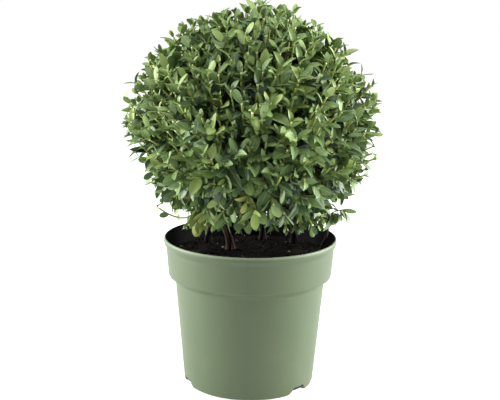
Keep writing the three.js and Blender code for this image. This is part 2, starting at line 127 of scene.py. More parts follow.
CROWN_HEIGHT = 0.293  # the middle of the ball above the ground
CROWN_SQUASH = 0.97  # the ball's height over its width
CORE_RADIUS = 0.117
HOLLOW_RADIUS = 0.072  # the bare middle of the ball, where the boughs are
JOINT_DEPTH = 0.85  # of the core's radius, where a mass's twigs branch
TWIG_ELBOW = 0.80  # of the core's radius, where a twig starts to bend
TWIG_BEND = 0.93  # the same for where it has bent
TWIG_FORKS = (0.45, 0.95)  # where on a mass's own stem its twigs start
TWIG_SHORTFALL = 0.006  # how far short of the clipped outline a twig may end
TWIG_RADII = (0.0013, 0.0007)
TWIG_KNOTS = 0.005
OWN_STEM_LENGTH = 0.008
OWN_STEM_RADII = (0.0015, 0.0012)
OWN_STEM_KNOTS = 0.004
TWIG_REACH = 0.1185
REACH_SPREAD = 0.014
TIP_REACH = 0.1438  # where the furthest leaves end
LOW_TIP_REACH = 0.150  # the same for the shoots over the mouth of the pot
SIDE_TIP_REACH = 0.162
LEAF_OVER_POT = 0.003

CROWN_SEED = 5
TWIG_COUNT = 80
LOWEST_TWIG = -0.88
SHOOT_COUNT = 670
SHOOT_RISE = (0.5, 1.5)  # how far a shoot's end turns up towards the light
LOW_RISE = (0.1, 0.6)  # the same low on the ball, where the leaves hang as well
LOW_DROOP = 0.5
SHOOT_RUN = 0.042  # the straight end of a shoot
SHORT_RUN = 0.4  # of its reach, the longest straight end of a short shoot
LEAFY_SHARE = 1.45  # how much further back than its straight end a shoot's leaves start
BARE_FOOT = 0.12  # of a shoot, at least, has no leaves
SHOOT_FORKS = (0.15, 0.6)  # where on a twig its shoots start
SHOOT_SWEEP = 0.55  # how strongly a shoot heads straight for its leafy end
SHOOT_SCATTER = 0.06  # how far a shoot's direction may stray from the even spread
SHOOT_RADII = (0.0013, 0.00095)
SHOOT_KNOTS = 0.006
CLIPPED_SHARE = 0.62  # of the shoots end in a cut, and the rest in young leaves
HANGING_RINGS = ((-48, 26), (-60, 20))  # elevation and count of the shoots under the ball
HANGING_REACH = TWIG_REACH - 0.002
HANGING_RISE = 0.15
HANGING_DROOP = 0.9
HANGING_SPREAD = 0.007
MOUTH_RISE = 0.05
RIM_RISE = 1.20
RIM_DROOP = 0.7
INNER_COUNT = 210  # short shaded shoots inside the ball
INNER_REACH = (0.082, 0.104)
INNER_RISE = 0.3
HOLLOW_DEPTH = 0.030  # how far the shoots of a hollow place in the ball stand back
TOP_SPREAD = 0.6  # the top is clipped more evenly, by these shares of the spread and the hollows
TOP_HOLLOW = 0.4
OUTLIER_RISE = 0.7
OUTLIER_LOWEST = -30  # degrees, below which the outliers hang
PAIR_SPACING = 0.0112  # between two pairs of leaves
BARE_PAIRS = 0.3  # of the lowest pairs have been shed
LEAF_LENGTH = 0.0198
LEAF_SIZES = (0.80, 1.16)  # of that length, from shoot to shoot
SHADED_SIZE = 0.9
LEAF_WIDTH = 0.0099
LEAF_THICKNESS = 0.00025
MIDRIB_WIDTH = 0.0006
MIDRIB_LIFT = 0.00012
LOW_LEAF_ANGLE = 76  # degrees between a leaf and its shoot, at the foot of the leafy end
TIP_LEAF_ANGLE = 36
LEAF_LIGHT_TURN = 0.35  # how far a leaf's face turns up
LEAF_TWIST = 0.45
LEAF_TURN_SPREAD = 0.4
LEAF_ANGLE_SPREAD = 15
LEAF_LENGTH_SPREAD = 0.17
LEAF_WIDTH_SPREAD = 0.12
OLD_SHARE = 0.45  # of a leafy end has darker leaves, partly older and partly painted shade deeper in the ball, and some of them shed
OLDEST_SHARE = 0.25
YOUNG_SHARE = 0.8  # how far along it the leaves are lighter
YOUNG_LEAF = (0.66, 24)  # the size and the angle of the last pair of a growing shoot
BUD_LEAF = (0.42, 14, 0.8)  # the same for the pair at its tip, and their width
OLD_DROOP = 0.18
SIDE_LEAF_LENGTH = 0.019
CUT_END = (0.0006, 0.0009)  # how far a cut reaches back over its shoot and past it
CUT_END_RADII = (0.0012, 0.0011)

# ---- camera and light

CAMERA_PLACE = (-0.001, -1.254, 0.475)
CAMERA_PITCH = math.radians(12.13)
CAMERA_ROLL = 0.0143
SENSOR_WIDTH = 36
LENS_LENGTH = 84.6

WORLD_LIGHT = 0.20
LIGHT_AIM = (0, 0, 0.2)
# Each soft box: its place, its size and its power.
SOFT_BOXES = {
    "box_left": ((-1.6, 0.06, 0.55), (1.2, 1.1), 84),
    "box_right": ((1.6, 0.10, 0.55), (1.2, 1.1), 89),
    "box_top": ((0.1, -0.20, 1.8), (1.3, 1.1), 27),
}


def added(name, data):
    """A new object in the scene."""
    made = bpy.data.objects.new(name, data)
    SCENE.collection.objects.link(made)
    return made


def camera():
    data = bpy.data.cameras.new("camera")
    data.sensor_width = SENSOR_WIDTH
    data.lens = LENS_LENGTH
    made = added("camera", data)
    looking = Matrix.Rotation(math.pi / 2 - CAMERA_PITCH, 4, "X")
    rolled = looking @ Matrix.Rotation(CAMERA_ROLL, 4, "Z")
    made.matrix_world = Matrix.Translation(CAMERA_PLACE) @ rolled
    SCENE.camera = made


def soft_box(name, place, size, power):
    """A large soft light that faces a point on the plant."""
    data = bpy.data.lights.new(name, "AREA")
    data.shape = "RECTANGLE"
    data.size, data.size_y = size
    data.energy = power
    made = added(name, data)
    facing = (Vector(place) - Vector(LIGHT_AIM)).to_track_quat("Z", "Y")
    made.matrix_world = Matrix.Translation(place) @ facing.to_matrix().to_4x4()


def studio():
    SCENE.view_settings.view_transform = "Standard"
    world = bpy.data.worlds.new("studio")
    world.use_nodes = True
    background = world.node_tree.nodes["Background"]
    background.inputs["Color"].default_value = (1, 1, 1, 1)
    background.inputs["Strength"].default_value = WORLD_LIGHT
    SCENE.world = world
    for name, box in SOFT_BOXES.items():
        soft_box(name, *box)


# ---- shader building


class Signal:
    """A number that varies over a surface. Arithmetic on it adds the Math nodes it needs."""

    def __init__(self, finish, socket):
        self.finish = finish
        self.socket = socket

    def __add__(self, other):
        return self.finish.maths("ADD", self, other)

    def __rsub__(self, other):
        return self.finish.maths("SUBTRACT", other, self)

    def __mul__(self, other):
        return self.finish.maths("MULTIPLY", self, other)

    def __abs__(self):
        return self.finish.maths("ABSOLUTE", self)

    __radd__ = __add__
    __rmul__ = __mul__


class Finish:
    """A surface material with one Principled shader."""

    def __init__(self, name, constants):
        self.material = bpy.data.materials.new(name)
        self.material.use_nodes = True
        self.nodes = self.material.node_tree.nodes
        self.shader = self.nodes["Principled BSDF"]
        for socket, value in constants.items():
            self.shader.inputs[socket].default_value = value
        self.material.diffuse_color = self.shader.inputs["Base Color"].default_value

    def node(self, kind, settings, inputs, output=0):
        """Adds a node. Its settings are made first, then its sockets get values or links."""
        made = self.nodes.new(kind)
        for name, value in settings.items():
            setattr(made, name, value)
        for name, value in inputs.items():
            if isinstance(value, Signal):
                self.material.node_tree.links.new(value.socket, made.inputs[name])
            else:
                made.inputs[name].default_value = value
        return Signal(self, made.outputs[output])

    def maths(self, operation, *values):
        settings = {"operation": operation}
        return self.node("ShaderNodeMath", settings, dict(enumerate(values)))

    def place(self, scale=(1, 1, 1)):
        """The place on the object, stretched by a scale along each axis."""
        where = self.node("ShaderNodeTexCoord", {}, {}, "Object")
        return self.node("ShaderNodeMapping", {}, {"Vector": where, "Scale": scale})

    def noise(self, scale, detail=3, stretch=(1, 1, 1), roughness=0.5):
        inputs = {"Vector": self.place(stretch), "Scale": scale, "Detail": detail}
        inputs["Roughness"] = roughness
        return self.node("ShaderNodeTexNoise", {}, inputs, "Fac")

    def ramp(self, value, low, high):
        """0 below one value of a signal and 1 above another, with a soft step between."""
        settings = {"interpolation_type": "SMOOTHSTEP"}
        inputs = {"Value": value, "From Min": low, "From Max": high}
        return self.node("ShaderNodeMapRange", settings, inputs)

    def blend(self, share, low, high):
        """A colour between two others."""
        inputs = {"Factor": share, 6: low, 7: high}
        return self.node("ShaderNodeMix", {"data_type": "RGBA"}, inputs, 2)

    def axis(self, letter):
        return self.node("ShaderNodeSeparateXYZ", {}, {"Vector": self.place()}, letter)

    def wear(self, **signals):
        """Feeds the shader's own sockets from signals."""
        for name, signal in signals.items():
            socket = self.shader.inputs[name.replace("_", " ").title()]
            self.material.node_tree.links.new(signal.socket, socket)
        return self

    def relief(self, height, depth):
        inputs = {"Height": height, "Distance": depth, "Strength": 1.0}
        return self.wear(normal=self.node("ShaderNodeBump", {}, inputs))


def paint(red, green, blue):
    """A colour given in the 0 to 255 steps of a paint chart, as the shader's own numbers."""
    steps = [channel / 255 for channel in (red, green, blue)]
    linear = [s / 12.92 if s <= 0.04045 else ((s + 0.055) / 1.055) ** 2.4 for s in steps]
    return (*linear, 1)


# ---- pieces


def piece(name, mesh, *materials, node, slot):
    """Adds a finished mesh to the scene in the place of one or more solids."""
    made = added(name, mesh)
    for material in materials:
        mesh.materials.append(material)
    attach(made, "root")
    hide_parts(*([node] if isinstance(node, str) else node))
    return made


def smooth_mesh(name, shape):
    mesh = bpy.data.meshes.new(name)
    shape.to_mesh(mesh)
    shape.free()
    mesh.shade_smooth()
    return mesh


def finished_mesh(made):
    """The mesh of an object with its modifiers, or its curve's tubes, worked out."""
    made_now = made.evaluated_get(bpy.context.evaluated_depsgraph_get())
    return bpy.data.meshes.new_from_object(made_now)


def spun(profile, steps):
    """A profile of (radius, height) points turned all the way round the Z axis."""
    shape = bmesh.new()
    knots = [shape.verts.new((radius, 0, height)) for radius, height in profile]
    edges = [shape.edges.new(pair) for pair in zip(knots, knots[1:])]
    bmesh.ops.spin(
        shape, geom=knots + edges, cent=(0, 0, 0), axis=(0, 0, 1), dvec=(0, 0, 0),
        angle=2 * math.pi, steps=steps, use_merge=True,
    )
    bmesh.ops.remove_doubles(shape, verts=shape.verts, dist=MERGE_DISTANCE)
    bmesh.ops.recalc_face_normals(shape, faces=shape.faces)
    return shape


# ---- pot

STEP_FOOT = POT_HEIGHT - BAND_HEIGHT - STEP_HEIGHT
BAND_FOOT = POT_HEIGHT - BAND_HEIGHT
LIP_FOOT = POT_HEIGHT - LIP_HEIGHT
FLOOR_TOP = FLOOR_UNDERSIDE + FLOOR_THICKNESS
BODY_AT_FLOOR = float(np.interp(
    FLOOR_TOP, (BASE_ROUNDING, STEP_FOOT), (BODY_FOOT_RADIUS, BODY_TOP_RADIUS),
))
# The inside of the wall from the floor to the lip, as (height, radius) pairs.
INSIDE_WALL = (
    (FLOOR_TOP, BODY_AT_FLOOR - WALL),
    (STEP_FOOT + WALL, BODY_TOP_RADIUS - WALL),
    (BAND_FOOT + WALL, BAND_FOOT_RADIUS - 1.5 * WALL),
    (LIP_FOOT, BAND_TOP_RADIUS - WALL),
)


def inside_radius(height):
    return float(np.interp(height, *zip(*INSIDE_WALL)))


# The section of the lip, as how far in from the rim and how far up from the lip's foot.
LIP_SECTION = (
    (0.0010, 0.0010), (0, 0.0040), (0.0005, 0.0072), (0.0016, LIP_HEIGHT), (0.0032, 0.0072),
)


def pot_profile():
    outside = [
        (BASE_RADIUS, 0),
        (BASE_RADIUS + BASE_ROUNDING * 0.65, BASE_ROUNDING * 0.4),
        (BODY_FOOT_RADIUS, BASE_ROUNDING),
        (BODY_TOP_RADIUS, STEP_FOOT),
        (BODY_TOP_RADIUS + 0.0009, STEP_FOOT + STEP_TURN),
        (BAND_FOOT_RADIUS - 0.0011, BAND_FOOT - STEP_TURN),
        (BAND_FOOT_RADIUS, BAND_FOOT),
        (BAND_TOP_RADIUS, LIP_FOOT - LIP_TURN),
    ]
    lip = [(RIM_RADIUS - inward, LIP_FOOT + up) for inward, up in LIP_SECTION]
    wall = [(radius, height) for height, radius in reversed(INSIDE_WALL)]
    underside = [
        (0, FLOOR_TOP),
        (0, FLOOR_UNDERSIDE),
        (BASE_RADIUS - FOOT_RING_WIDTH - FOOT_RING_SLOPE, FLOOR_UNDERSIDE),
        (BASE_RADIUS - FOOT_RING_WIDTH, 0),
        (BASE_RADIUS, 0),
    ]
    return outside + lip + wall + underside


# The heights whose rings are rounded over, and how far.
ROUNDED_RINGS = (
    (STEP_FOOT, 0.0007),
    (STEP_FOOT + STEP_TURN, 0.0006),
    (BAND_FOOT - STEP_TURN, 0.0006),
    (BAND_FOOT, 0.0008),
    (LIP_FOOT - LIP_TURN, 0.0010),
    (POT_HEIGHT, 0.0005),
)


def round_rings(shape):
    """Rounds over the outer rings of the pot, so that they catch the light softly."""
    for height, width in ROUNDED_RINGS:
        ring = [
            edge for edge in shape.edges
            if all(abs(v.co.z - height) < TOLERANCE for v in edge.verts)
            and min(v.co.xy.length for v in edge.verts) > inside_radius(height) + WALL * 0.4
        ]
        bmesh.ops.bevel(
            shape, geom=ring, offset=width, offset_type="OFFSET", segments=3, profile=0.5,
            affect="EDGES", material=-1, clamp_overlap=True,
        )


def foot_cutters():
    """The wedges of the drainage notches and the rods of the drain holes, as one mesh."""
    shape = bmesh.new()
    reach = BODY_FOOT_RADIUS + CUT_PAST
    inner = BASE_RADIUS - FOOT_RING_WIDTH - CUT_PAST
    for bearing in NOTCH_BEARINGS:
        turn = Matrix.Rotation(math.radians(bearing), 4, "Z")
        wedge = bmesh.ops.create_cube(shape, size=2)["verts"]
        for corner in wedge:
            top = corner.co.z > 0
            span = math.radians((NOTCH_TOP_SPAN if top else NOTCH_SPAN) / 2)
            corner.co.y *= reach * math.tan(span)
            corner.co.x = reach if corner.co.x > 0 else inner
            corner.co.z = NOTCH_HEIGHT if top else -CUT_BELOW
        bmesh.ops.transform(shape, matrix=turn, verts=wedge)
        rod = bmesh.ops.create_cone(
            shape, cap_ends=True, segments=DRAIN_HOLE_STEPS, radius1=DRAIN_HOLE_RADIUS,
            radius2=DRAIN_HOLE_RADIUS, depth=CUT_LENGTH,
        )["verts"]
        here = turn @ Matrix.Translation((DRAIN_HOLE_REACH, 0, FLOOR_TOP))
        bmesh.ops.transform(shape, matrix=here, verts=rod)
    return added("foot_cutters", smooth_mesh("foot_cutters", shape))


DUST_HEIGHTS = (0.02, 0.11)  # between which the dust thins out
# Between these heights the rim top turns pale: partly rubbed wear, partly a painted highlight along
# the lip.
WORN_AND_HIGHLIGHT_HEIGHTS = (POT_HEIGHT - 0.0035, POT_HEIGHT - 0.0005)
GROOVES_START = (0.1475, 0.1500)
GROOVES_END = (0.1560, 0.1580)
GROOVE_WAVE = 3600  # radians to the metre
SEAM_SHIFT = 0.002
SEAM_WIDTH = (0.0002, 0.0008)


def pot_plastic():
    """Green plastic with flow marks, scuffs, dust, a mould seam, fine grooves under the lip and a
    pale rim top, partly rubbed wear and partly a painted highlight.
    """
    finish = Finish("pot_plastic", {"Specular IOR Level": 0.35})
    cloud = finish.noise(9, 4)
    flow = finish.noise(60, 3, stretch=(1, 1, 0.16))
    speck = finish.noise(420, 2)
    height = finish.axis("Z")
    scuffs = finish.ramp(finish.noise(38, 6, stretch=(1, 1, 2.6), roughness=0.7), 0.60, 0.74)
    dust = finish.ramp(finish.noise(17, 5), 0.5, 0.75) * (1 - finish.ramp(height, *DUST_HEIGHTS))
    worn_and_highlight = finish.ramp(height, *WORN_AND_HIGHLIGHT_HEIGHTS)
    shade = finish.blend(cloud, paint(67, 80, 55), paint(73, 86, 60))
    shade = finish.blend(flow * 0.35, shade, paint(80, 94, 64))
    # Paler rim top: partly rubbed wear, partly a painted highlight line along the lip.
    shade = finish.blend(worn_and_highlight * 0.55, shade, paint(132, 146, 120))
    shade = finish.blend(scuffs * 0.16, shade, paint(84, 76, 58))
    shade = finish.blend(dust * 0.22, shade, paint(94, 90, 72))
    front = 1 - finish.ramp(finish.axis("Y"), -0.05, -0.04)
    seam = (1 - finish.ramp(abs(finish.axis("X") + SEAM_SHIFT), *SEAM_WIDTH)) * front
    seam = seam * (0.3 + 0.7 * finish.ramp(height, STEP_FOOT - 0.004, STEP_FOOT))
    shade = finish.blend(seam * 0.28, shade, paint(60, 72, 50))
    finish.wear(base_color=shade, roughness=0.42 + 0.10 * cloud + 0.10 * scuffs + 0.06 * speck)
    grooves = finish.maths("SINE", height * GROOVE_WAVE) * finish.ramp(height, *GROOVES_START)
    grooves = grooves * (1 - finish.ramp(height, *GROOVES_END))
    raised = speck * 0.25 + flow * 0.5 + grooves * 0.18 + seam * 0.5
    return finish.relief(raised, depth=0.00022).material


def pot_lining():
    # Near black: partly the pot's own dark inside, partly painted shade inside the pot.
    finish = Finish("pot_lining", {"Specular IOR Level": 0.04})
    grime = finish.noise(55, 5)
    shade = finish.blend(grime, paint(2, 2, 3), paint(6, 6, 7))
    finish.wear(base_color=shade, roughness=0.42 + 0.25 * grime)
    return finish.relief(grime, depth=0.0003).material


def pot():
    shape = spun(pot_profile(), POT_STEPS)
    round_rings(shape)
    bmesh.ops.recalc_face_normals(shape, faces=shape.faces)
    for face in shape.faces:
        middle = face.calc_center_median()
        inward = face.normal.x * middle.x + face.normal.y * middle.y < 0
        lining = inward and middle.z > FLOOR_TOP or abs(middle.z - FLOOR_TOP) < TOLERANCE
        face.material_index = 1 if lining else 0
    mesh = smooth_mesh("nursery_pot", shape)
    made = piece("nursery_pot", mesh, pot_plastic(), pot_lining(), node="pot", slot="pot")
    cutter = foot_cutters()
    cut = made.modifiers.new("notches", "BOOLEAN")
    cut.operation = "DIFFERENCE"
    cut.solver = "EXACT"
    cut.object = cutter
    finished = finished_mesh(made)
    made.modifiers.clear()
    made.data = finished
    bpy.data.objects.remove(cutter)
    finished.set_sharp_from_angle(angle=SHARPEST_SMOOTH)


# ---- potting soil


def peat():
    """Black wet clods with brown fibres, paler towards the left and right edges as painted light.
    """
    finish = Finish("peat", {"Specular IOR Level": 0.06})
    clods = finish.noise(140, 6, roughness=0.65)
    fibre = finish.ramp(finish.noise(520, 4), 0.60, 0.70)
    stretched = {0: finish.place((1, 0.5, 0))}
    out = finish.node("ShaderNodeVectorMath", {"operation": "LENGTH"}, stretched, 1)
    out = out + 0.02 * finish.noise(60, 3)
    wet_shade = finish.blend(clods, paint(6, 6, 6), paint(27, 24, 21))
    # Painted light: the soil turns paler towards the left and right edges, where the side lamps
    # fall.
    painted_light_colour = finish.blend(clods, paint(28, 27, 25), paint(86, 82, 75))
    shade = finish.blend(finish.ramp(out, *PAINTED_LIGHT_EDGES), wet_shade, painted_light_colour)
    shade = finish.blend(fibre * 0.5, shade, paint(70, 56, 40))
    finish.wear(base_color=shade, roughness=0.80 + 0.18 * clods)
    return finish.relief(clods + fibre * 0.3, depth=0.0012).material


def pale_grit():
    finish = Finish("pale_grit", {"Roughness": 0.9})
    stain = finish.noise(700, 3)
    finish.wear(base_color=finish.blend(stain, paint(96, 85, 68), paint(158, 147, 126)))
    return finish.material


def potting_soil():
    edge = SOIL_LEVEL - SOIL_DISH_DEPTH
    heights = (FLOOR_TOP + CLEARANCE, INSIDE_WALL[1][0], INSIDE_WALL[2][0], edge)
    wall = [(inside_radius(height) - CLEARANCE, height) for height in heights]
    rim = inside_radius(edge) - SOIL_DISH_WIDTH
    top = [(rim * (1 - share), SOIL_LEVEL) for share in np.linspace(0, 1, SOIL_RINGS)]
    slope = [
        (rim + SOIL_DISH_WIDTH * (1 - t), edge + SOIL_DISH_DEPTH * t) for t in (0.25, 0.5, 0.75)
    ]
    shape = spun([(0, heights[0])] + wall + slope + top, SOIL_STEPS)
    for vertex in shape.verts:
        if vertex.co.z > edge + TOLERANCE:
            rough = noise.fractal(vertex.co * 160, 0.8, 2.1, 4)
            vertex.co.z += SOIL_ROUGHNESS * rough - SOIL_SETTLING
    mesh = smooth_mesh("soil_surface", shape)
    piece("soil_surface", mesh, peat(), node="potting_soil", slot="soil")


def crumb_template(seed):
    """A small rough clod."""
    shape = bmesh.new()
    bmesh.ops.create_icosphere(shape, subdivisions=1, radius=0.5)
    for vertex in shape.verts:
        vertex.co *= 1 + 0.45 * noise.noise(vertex.co * 2.3 + Vector((seed, 0, 0)))
    return smooth_mesh("crumb", shape)


def soil_crumbs():
    """Loose clods and pale grains on the soil, thicker round the feet of the stems."""
    chance = random.Random(CRUMB_SEED)
    mouth = inside_radius(SOIL_LEVEL)

    def any_turn(*kind):
        return Matrix.Rotation(chance.uniform(0, ANY_TURN), *kind)

    spots = []
    for _ in range(CRUMB_COUNT):
        reach = (mouth - CRUMB_GAP) * math.sqrt(chance.random())
        spots.append(Vector((reach, 0)) @ any_turn(2))
    for foot, _, radius in STEMS.values():
        for _ in range(FOOT_CRUMBS):
            away = Vector((radius * chance.uniform(*FOOT_CRUMB_REACH), 0))
            spots.append(Vector(foot) + away @ any_turn(2))
    dark, pale = [], []
    for spot in spots:
        size = CRUMB_LEAST + CRUMB_SPREAD * chance.random() ** 3
        past_dish = max(0, spot.length - mouth + SOIL_DISH_WIDTH)
        sunk = past_dish * SOIL_DISH_DEPTH / SOIL_DISH_WIDTH
        turn = any_turn(3, "Z") @ any_turn(3, "X")
        shape = Matrix.Diagonal((1, chance.uniform(0.6, 1), chance.uniform(0.5, 0.8)))
        place = Vector((*spot, SOIL_LEVEL - sunk))
        (pale if chance.random() < PALE_SHARE else dark).append((place, turn @ shape * size))
    for name, places, material in (("soil_crumbs", dark, peat()), ("soil_grit", pale, pale_grit())):
        mesh = joined(name, crumb_template(len(places)), places)
        piece(name, mesh, material, node="potting_soil", slot="soil")


# ---- joining many small copies


def joined(name, template, places):
    """Copies of one small mesh at many (place, 3 by 3 turn and scale) places, as one mesh."""
    points = np.array([vertex.co[:] for vertex in template.vertices])
    turns = np.array([np.array(turn) for _, turn in places])
    roots = np.array([place[:] for place, _ in places])
    placed = np.einsum("kij,nj->kni", turns, points) + roots[:, None, :]
    corners = np.array([face.vertices[:] for face in template.polygons])
    shift = np.arange(len(places))[:, None, None] * len(points)
    faces = (corners[None, :, :] + shift).reshape(-1, corners.shape[1])
    mesh = bpy.data.meshes.new(name)
    mesh.from_pydata(placed.reshape(-1, 3), [], faces)
    mesh.shade_smooth()
    return mesh


# ---- the plan of the crown


def direction(bearing, elevation):
    """The unit vector at a compass bearing and an elevation, both in degrees."""
    bearing, elevation = math.radians(bearing), math.radians(elevation)
    level = math.cos(elevation)
    return Vector((level * math.cos(bearing), level * math.sin(bearing), math.sin(elevation)))


# Each mass of foliage: the bearing and elevation of its middle, and the stem that carries it.
MASSES = {
    "top": (0, 90, "back"),
    "shoulder_front_left": (-135, 36, "centre"),
    "shoulder_front_right": (-45, 36, "right"),
    "shoulder_back_right": (45, 36, "back"),
    "shoulder_back_left": (135, 36, "left"),
    "waist_front": (-90, -4, "centre"),
    "waist_right": (-18, -4, "right"),
    "waist_back_right": (54, -4, "back"),
    "waist_back_left": (126, -4, "left"),
    "waist_left": (198, -4, "left"),
    "skirt_front_left": (-125, -46, "centre"),
    "skirt_right": (-10, -46, "right"),
    "skirt_back": (105, -46, "back"),
}
AXES = {name: direction(bearing, elevation) for name, (bearing, elevation, _) in MASSES.items()}

# Each stem: its foot on the soil, its fork and its radius.
STEMS = {
    "left": ((-0.048, 0.038), (-0.031, 0.016, 0.204), 0.0042),
    "centre": ((-0.022, 0.010), (-0.036, -0.016, 0.200), 0.0048),
    "right": ((0.050, 0.042), (0.033, 0.002, 0.203), 0.0044),
    "back": ((0.014, 0.058), (0.006, 0.026, 0.208), 0.0040),
}

SIDE_SHOOT_FOOT = (0.078, 0.010)
SIDE_SHOOT_BEND = (0.0864, 0.010, 0.158)
SIDE_SHOOT_TIP = (0.0858, 0.010, 0.183)
SIDE_SHOOT_RADII = (0.001875, 0.001275)
SIDE_SHOOT_KNOTS = 0.001
SIDE_SHOOT_RELIEF = 0.0001
SIDE_SHOOT_PULL = 0.0077  # how far its curve is pulled upright at the foot
# The twigs of the side shoot's spray: each one's end, where its leaves start and their droop.
SIDE_TWIGS = (
    ((0.0850, 0.010, 0.206), 0.10, 0.25),
    ((0.0915, 0.004, 0.190), 0.40, 1.00),
    ((0.1005, 0.004, 0.195), 0.72, 0.70),
)
SIDE_TWIG_PULL = 0.008
SIDE_TWIG_RADII = (0.0009, 0.0005)
SIDE_TWIG_KNOTS = 0.003

FOLIAGE_NODES = [f"foliage_{name}" for name in MASSES] + ["foliage_side_spray"]
CROWN_CENTRE = Vector((0, 0, CROWN_HEIGHT))


def on_ball(way, radius):
    """A point in a direction from the crown's middle, on the ball of a given radius."""
    return CROWN_CENTRE + Vector((way.x, way.y, way.z * CROWN_SQUASH)) * radius


class Bend:
    """A smooth curve on three or four handles, with its points at even steps of length."""

    STEPS = 40

    def __init__(self, *handles):
        def at(t):
            level = [Vector(h) for h in handles]
            while len(level) > 1:
                level = [a.lerp(b, t) for a, b in zip(level, level[1:])]
            return level[0]

        self.knots = [at(i / self.STEPS) for i in range(self.STEPS + 1)]
        runs = [(b - a).length for a, b in zip(self.knots, self.knots[1:])]
        self.marks = np.concatenate([[0], np.cumsum(runs)])
        self.length = float(self.marks[-1])

    def point(self, along):
        mark = along * self.length
        upper = min(max(int(np.searchsorted(self.marks, mark)), 1), self.STEPS)
        low, high = self.marks[upper - 1], self.marks[upper]
        return self.knots[upper - 1].lerp(self.knots[upper], (mark - low) / (high - low))

    def tangent(self, along):
        near, far = max(along - 0.02, 0), min(along + 0.02, 1)
        return (self.point(far) - self.point(near)).normalized()


# ---- stems and boughs


def stem_radius(radius, along):
    flare = ROOT_FLARE * math.exp(-along / FLARE_HEIGHT)
    return radius * (1 + flare - STEM_TAPER * along)


def stem_bend(foot, fork):
    foot = Vector((*foot, SOIL_LEVEL + CLEARANCE))
    fork = Vector(fork)
    rise = fork.z - foot.z
    below_fork = fork.lerp(foot, STEM_LEAN)
    below_fork.z = fork.z - rise * STEM_PULL
    return Bend(foot, foot + UP * (rise * STEM_PULL), below_fork, fork)


def mass_leaning(name):
    """The way a mass's own stem grows where it starts: outwards, and up towards the light."""
    return (AXES[name] + UP * LIGHT_PULL).normalized()


def mass_root(name):
    return CROWN_CENTRE + AXES[name] * (HOLLOW_RADIUS - OWN_STEM_LENGTH)


def bend_through(start, leaving, end, arriving):
    pull = (end - start).length * BOUGH_PULL
    return Bend(start, start + leaving * pull, end - arriving * pull, end)


def bough_bend(radius, stem, name, order):
    """A bough's curve from its stem to the root of its mass. The first carries the stem on."""
    along = 1 - BOUGH_SPACING * order
    place, up = stem.point(along), stem.tangent(along)
    arriving = mass_leaning(name)
    end = mass_root(name) - arriving * CLEARANCE
    if order == 0:
        return bend_through(place + up * CLEARANCE, up, end, arriving)
    side = end - place
    side = (side - up * side.dot(up)).normalized()
    leaving = up * math.cos(BOUGH_LEAN) + side * math.sin(BOUGH_LEAN)
    clear = stem_radius(radius, along) + CLEARANCE + BOUGH_RADII[0] * math.cos(BOUGH_LEAN)
    return bend_through(place + side * clear, leaving, end, arriving)


def tubes(name, runs, sides):
    """Round limbs along lists of (point, radius), capped and joined as one mesh."""
    data = bpy.data.curves.new(name, "CURVE")
    data.dimensions = "3D"
    data.bevel_depth = 1
    data.bevel_resolution = sides
    data.use_fill_caps = True
    for run in runs:
        spline = data.splines.new("POLY")
        spline.points.add(len(run) - 1)
        for knot, (point, radius) in zip(spline.points, run):
            knot.co = (*point, 1)
            knot.radius = radius
    holder = added(name, data)
    mesh = finished_mesh(holder)
    bpy.data.objects.remove(holder)
    mesh.shade_smooth()
    return mesh


def bark(name, dark, light, red):
    finish = Finish(name, {"Specular IOR Level": 0.3})
    ridges = finish.noise(900, 5, stretch=(1, 1, 0.22), roughness=0.6)
    patches = finish.noise(170, 3)
    shade = finish.blend(ridges, dark, light)
    shade = finish.blend(finish.ramp(patches, 0.45, 0.7) * 0.6, shade, red)
    finish.wear(base_color=shade, roughness=0.70 + 0.25 * ridges)
    return finish.relief(ridges, depth=0.0006).material


def rugged(mesh, depth):
    """Gives a limb the lengthwise ridges and small knots of bark."""
    shape = bmesh.new()
    shape.from_mesh(mesh)
    bmesh.ops.remove_doubles(shape, verts=shape.verts, dist=MERGE_DISTANCE)
    bmesh.ops.recalc_face_normals(shape, faces=shape.faces)
    shape.normal_update()
    for vertex in shape.verts:
        place = vertex.co
        ridge = noise.noise(Vector((place.x * 900, place.y * 900, place.z * 140)))
        knot = noise.noise(place * 190)
        vertex.co = place + vertex.normal * depth * (ridge + 0.8 * knot)
    shape.to_mesh(mesh)
    shape.free()
    mesh.shade_smooth()
    return mesh


def run_along(bend, radii, spacing):
    """A limb along a curve, as (point, radius) pairs that thin evenly from root to tip."""
    root, tip = radii
    count = max(int(bend.length / spacing), 4)
    marks = [i / count for i in range(count + 1)]
    return [(bend.point(along), root + (tip - root) * along) for along in marks]


def strands(stem, radius):
    """A stem as the two grown-together strands that it was struck from, twined within it."""
    runs = []
    for turn, offset, width in TWINS:
        run = []
        for along in np.linspace(0, 1, STRAND_KNOTS):
            full = stem_radius(radius, along)
            up = stem.tangent(along)
            side = Vector((math.cos(turn), math.sin(turn), 0))
            side.rotate(Matrix.Rotation(TWINE * along, 3, up))
            side = (side - up * side.dot(up)).normalized()
            run.append((stem.point(along) + side * full * offset, full * width))
        runs.append(run)
    return runs


def limb(name, runs, sides, depth, skin):
    """The piece of one wooden solid, with the relief of its bark."""
    mesh = rugged(tubes(name, runs, sides), depth)
    piece(f"{name}_bark", mesh, skin, node=name, slot="bark")


